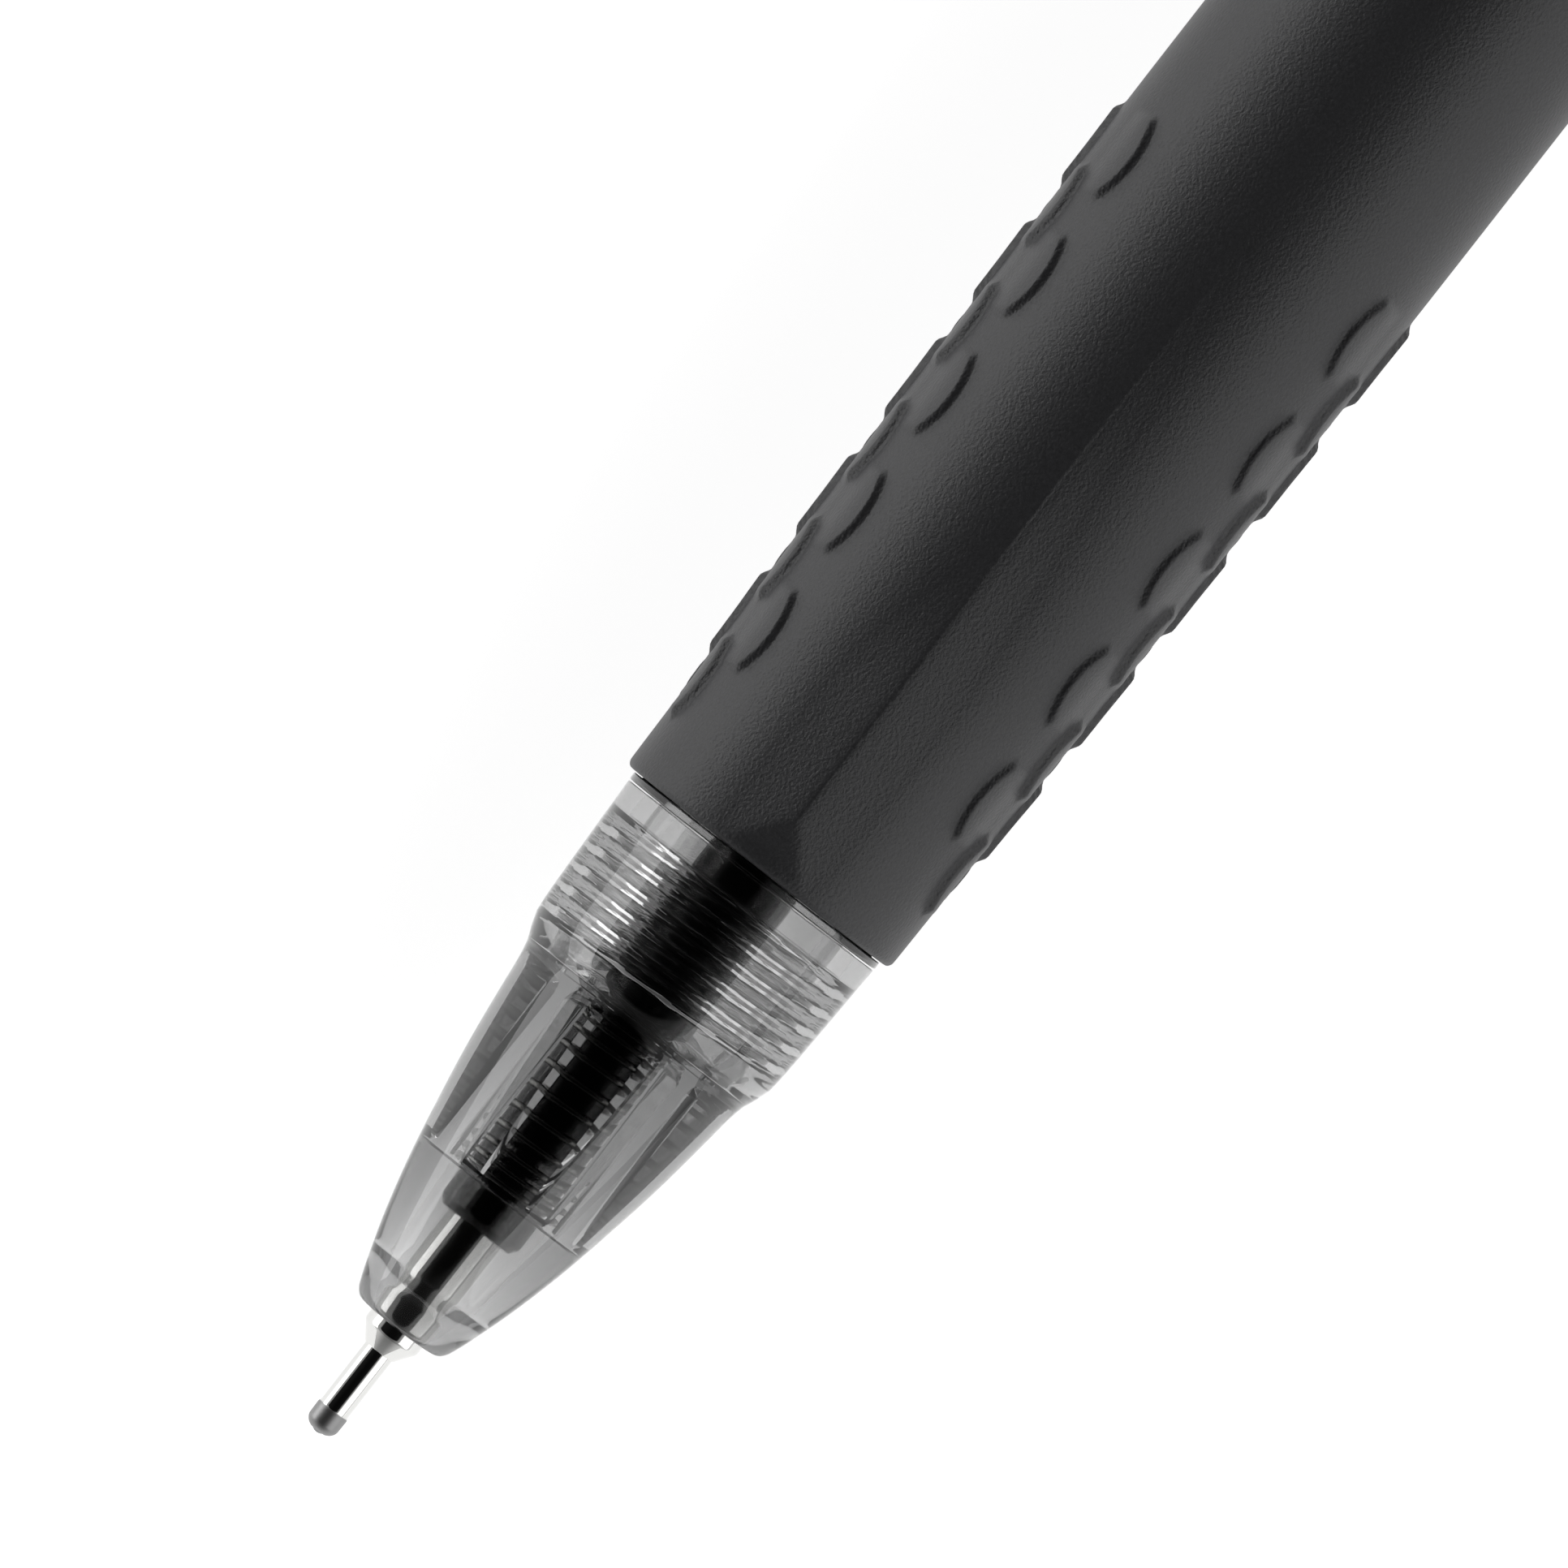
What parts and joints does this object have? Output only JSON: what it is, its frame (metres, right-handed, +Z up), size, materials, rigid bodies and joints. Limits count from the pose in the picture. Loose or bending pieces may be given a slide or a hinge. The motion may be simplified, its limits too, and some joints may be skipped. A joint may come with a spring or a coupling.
{
  "type": "gel pen",
  "caption": "Retractable gel pen with a needle point, a clear threaded nose over a sprung refill, a padded rubber grip, a clear barrel, a sprung pocket clip and a push button.",
  "frame": {"origin": "centre of the bounding box's base, on the surface that the pen lies on", "axes": "+X along the pen from the writing point to the push button, +Z up; the clip lies on the +Y side, tilted down to the surface"},
  "size_m": [0.142, 0.016, 0.0125],
  "materials": {
    "clear_smoke_plastic": "clear smoky polycarbonate, polished mould",
    "grip_rubber": "matt black elastomer, fine moulded grain",
    "stainless_steel": "polished stainless steel",
    "spring_steel": "drawn spring wire",
    "tungsten_carbide": "ground carbide ball",
    "black_plastic": "satin black moulded plastic",
    "natural_plastic": "natural translucent polypropylene",
    "gel_ink": "black gel ink",
    "grease": "clear follower grease"
  },
  "bodies": {
    "pen_body": {"barrel": "clear_smoke_plastic", "grip_sleeve": "grip_rubber", "cam_sleeve": "black_plastic", "trim_ring": "stainless_steel", "end_cap": "black_plastic"},
    "button": {"push_button": "black_plastic"},
    "refill": {"needle_tube": "stainless_steel", "tip_stem": "stainless_steel", "ball_seat_spring": "spring_steel", "tip_holder": "clear_smoke_plastic", "reservoir_tube": "natural_plastic", "ink_column": "gel_ink", "ink_follower": "grease", "follower_float": "natural_plastic", "tail_plug": "black_plastic"},
    "rotor": {"rotor_cam": "natural_plastic"},
    "ball": {"writing_ball": "tungsten_carbide"},
    "spring": {"return_spring": "spring_steel"},
    "nose": {"nose_cone": "clear_smoke_plastic"},
    "clip_arm": {"clip": "stainless_steel"}
  },
  "joints": [
    {"name": "knock_slide", "type": "slide", "parent": "pen_body", "child": "button", "axis": [1, 0, 0], "range_m": [-0.0012, 0.0055], "stiffness_N_per_m": 195},
    {"name": "refill_slide", "type": "slide", "parent": "pen_body", "child": "refill", "axis": [1, 0, 0], "range_m": [-0.0012, 0.0055], "deforming": ["return_spring"]},
    {"name": "rotor_spin", "type": "hinge", "parent": "refill", "child": "rotor", "pos_m": [0.04605, -0.00176, 0.00626], "axis": [1, 0, 0], "continuous": true},
    {"name": "ball_roll", "type": "hinge", "parent": "refill", "child": "ball", "pos_m": [-0.0706, -0.00176, 0.00626], "axis": [0, 1, 0], "continuous": true},
    {"name": "nose_withdraw", "type": "slide", "parent": "pen_body", "child": "spring", "axis": [-1, 0, 0], "range_m": [0, 0.00443]},
    {"name": "nose_unscrew", "type": "hinge", "parent": "spring", "child": "nose", "pos_m": [-0.04995, -0.00176, 0.00626], "axis": [-1, 0, 0], "range_deg": [0, 1944]},
    {"name": "clip_lift", "type": "hinge", "parent": "pen_body", "child": "clip_arm", "pos_m": [0.06245, 0.0037, 0.00377], "axis": [0, -0.4147, -0.91], "range_deg": [0, 6], "stiffness_Nm_per_rad": 0.15}
  ],
  "couplings": [
    {"joint": "refill_slide", "follows": "knock_slide", "ratio": 1},
    {"joint": "nose_unscrew", "follows": "nose_withdraw", "rad_per_m": 7662.4}
  ]
}
